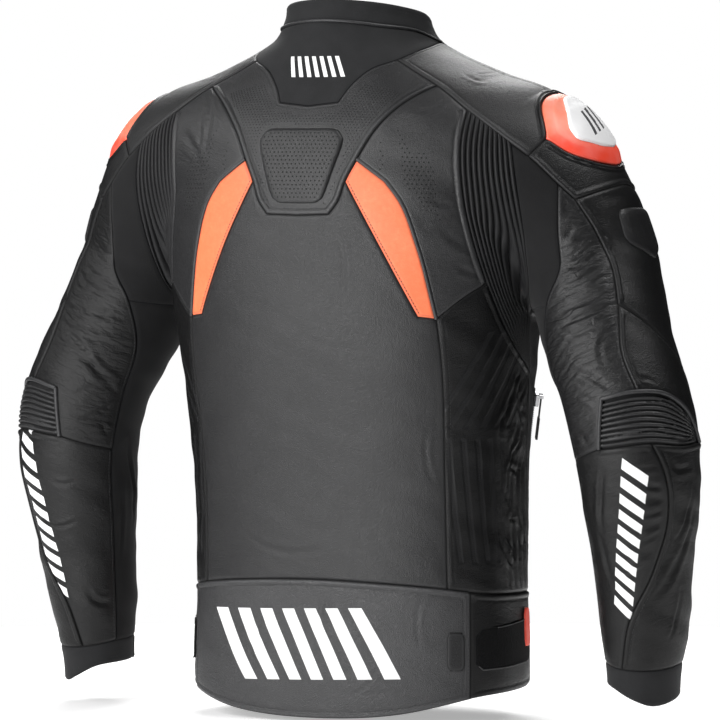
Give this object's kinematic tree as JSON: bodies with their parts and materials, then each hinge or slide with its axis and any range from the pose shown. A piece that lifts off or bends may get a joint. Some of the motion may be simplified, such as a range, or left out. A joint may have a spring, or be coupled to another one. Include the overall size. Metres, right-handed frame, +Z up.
{
  "type": "leather motorcycle jacket",
  "caption": "Perforated black leather riding jacket with orange wedges, hard shoulder sliders, ribbed stretch panels and a soft collar, filled out as worn.",
  "frame": {"origin": "inside the base of the neck, on the jacket's middle, where it sits on the wearer's shoulders", "axes": "+X to the wearer's left, +Y to the wearer's back, +Z up; the front faces -Y"},
  "size_m": [0.7468, 0.2635, 0.7088],
  "materials": {
    "collar_band": "matt black neoprene-like fabric",
    "neck_patch": "matt black neoprene-like fabric",
    "yoke": "satin, grained black leather",
    "spine_pad": "satin, grained black leather",
    "back_panel": "satin, grained black leather",
    "lower_back_pad": "satin, grained black leather",
    "front_zip": "matt black woven tape",
    "shoulder_panel_right": "satin, grained black leather",
    "shoulder_panel_left": "satin, grained black leather",
    "shoulder_slider_right": "satin orange shell",
    "shoulder_slider_left": "satin orange shell",
    "slider_cap_right": "gloss white cap",
    "slider_cap_left": "gloss white cap",
    "shoulder_drop_right": "satin, grained black leather",
    "shoulder_drop_left": "satin, grained black leather",
    "blade_panel_right": "satin, grained black leather",
    "blade_panel_left": "satin, grained black leather",
    "back_wedge_right": "satin, grained orange leather",
    "back_wedge_left": "satin, grained orange leather",
    "back_ribs_right": "matt black stretch fabric",
    "back_ribs_left": "matt black stretch fabric",
    "underarm_stretch_right": "matt black stretch fabric",
    "underarm_stretch_left": "matt black stretch fabric",
    "flank_panel_right": "satin, grained black leather",
    "flank_panel_left": "satin, grained black leather",
    "hem_gusset_right": "satin, grained black leather",
    "hem_gusset_left": "satin, grained black leather",
    "hem_strap_right": "matt black woven tape",
    "hem_strap_left": "matt black woven tape",
    "front_band_right": "satin, grained black leather",
    "front_band_left": "satin, grained black leather",
    "front_panel_right": "satin, grained black leather",
    "front_panel_left": "satin, grained black leather",
    "pocket_zip_right": "matt black woven tape",
    "pocket_zip_left": "matt black woven tape",
    "sleeve_top_right": "satin, grained black leather",
    "sleeve_top_left": "satin, grained black leather",
    "arm_pad_right": "satin, grained black leather",
    "arm_pad_left": "satin, grained black leather",
    "sleeve_side_right": "satin, grained black leather",
    "sleeve_side_left": "satin, grained black leather",
    "sleeve_back_right": "satin, grained black leather",
    "sleeve_back_left": "satin, grained black leather",
    "elbow_ribs_right": "satin, grained black leather",
    "elbow_ribs_left": "satin, grained black leather",
    "forearm_back_right": "satin, grained black leather",
    "forearm_back_left": "satin, grained black leather",
    "forearm_side_right": "satin, grained black leather",
    "forearm_side_left": "satin, grained black leather",
    "sleeve_inner_right": "matt black stretch fabric",
    "sleeve_inner_left": "matt black stretch fabric",
    "cuff_right": "matt black neoprene-like fabric",
    "cuff_left": "matt black neoprene-like fabric",
    "front_zip_slider": "satin silver metal",
    "front_zip_pull": "matt black rubber",
    "pocket_left_zip_slider": "satin silver metal",
    "pocket_left_zip_pull": "matt black rubber",
    "pocket_right_zip_slider": "satin silver metal",
    "pocket_right_zip_pull": "matt black rubber"
  },
  "bodies": {
    "jacket": {"collar_band": "collar_band", "neck_patch": "neck_patch", "yoke": "yoke", "spine_pad": "spine_pad", "back_panel": "back_panel", "lower_back_pad": "lower_back_pad", "front_zip": "front_zip", "shoulder_panel_right": "shoulder_panel_right", "shoulder_panel_left": "shoulder_panel_left", "shoulder_slider_right": "shoulder_slider_right", "shoulder_slider_left": "shoulder_slider_left", "slider_cap_right": "slider_cap_right", "slider_cap_left": "slider_cap_left", "shoulder_drop_right": "shoulder_drop_right", "shoulder_drop_left": "shoulder_drop_left", "blade_panel_right": "blade_panel_right", "blade_panel_left": "blade_panel_left", "back_wedge_right": "back_wedge_right", "back_wedge_left": "back_wedge_left", "back_ribs_right": "back_ribs_right", "back_ribs_left": "back_ribs_left", "underarm_stretch_right": "underarm_stretch_right", "underarm_stretch_left": "underarm_stretch_left", "flank_panel_right": "flank_panel_right", "flank_panel_left": "flank_panel_left", "hem_gusset_right": "hem_gusset_right", "hem_gusset_left": "hem_gusset_left", "hem_strap_right": "hem_strap_right", "hem_strap_left": "hem_strap_left", "front_band_right": "front_band_right", "front_band_left": "front_band_left", "front_panel_right": "front_panel_right", "front_panel_left": "front_panel_left", "pocket_zip_right": "pocket_zip_right", "pocket_zip_left": "pocket_zip_left", "sleeve_top_right": "sleeve_top_right", "sleeve_top_left": "sleeve_top_left", "arm_pad_right": "arm_pad_right", "arm_pad_left": "arm_pad_left", "sleeve_side_right": "sleeve_side_right", "sleeve_side_left": "sleeve_side_left", "sleeve_back_right": "sleeve_back_right", "sleeve_back_left": "sleeve_back_left", "elbow_ribs_right": "elbow_ribs_right", "elbow_ribs_left": "elbow_ribs_left", "forearm_back_right": "forearm_back_right", "forearm_back_left": "forearm_back_left", "forearm_side_right": "forearm_side_right", "forearm_side_left": "forearm_side_left", "sleeve_inner_right": "sleeve_inner_right", "sleeve_inner_left": "sleeve_inner_left", "cuff_right": "cuff_right", "cuff_left": "cuff_left", "front_zip_slider": "front_zip_slider", "pocket_left_zip_slider": "pocket_left_zip_slider", "pocket_right_zip_slider": "pocket_right_zip_slider"},
    "front_pull": {"front_zip_pull": "front_zip_pull"},
    "pocket_left_pull": {"pocket_left_zip_pull": "pocket_left_zip_pull"},
    "pocket_right_pull": {"pocket_right_zip_pull": "pocket_right_zip_pull"}
  },
  "joints": [
    {"name": "front_pull_swing", "type": "hinge", "parent": "jacket", "child": "front_pull", "pos_m": [0, -0.07414, 0.01801], "axis": [-1, 0, 0], "range_deg": [0, 150]},
    {"name": "pocket_left_pull_swing", "type": "hinge", "parent": "jacket", "child": "pocket_left_pull", "pos_m": [0.17377, -0.05654, -0.33268], "axis": [-0.4977, -0.8067, 0.3186], "range_deg": [0, 150]},
    {"name": "pocket_right_pull_swing", "type": "hinge", "parent": "jacket", "child": "pocket_right_pull", "pos_m": [-0.17377, -0.05654, -0.33268], "axis": [-0.4977, 0.8067, -0.3186], "range_deg": [0, 150]}
  ]
}
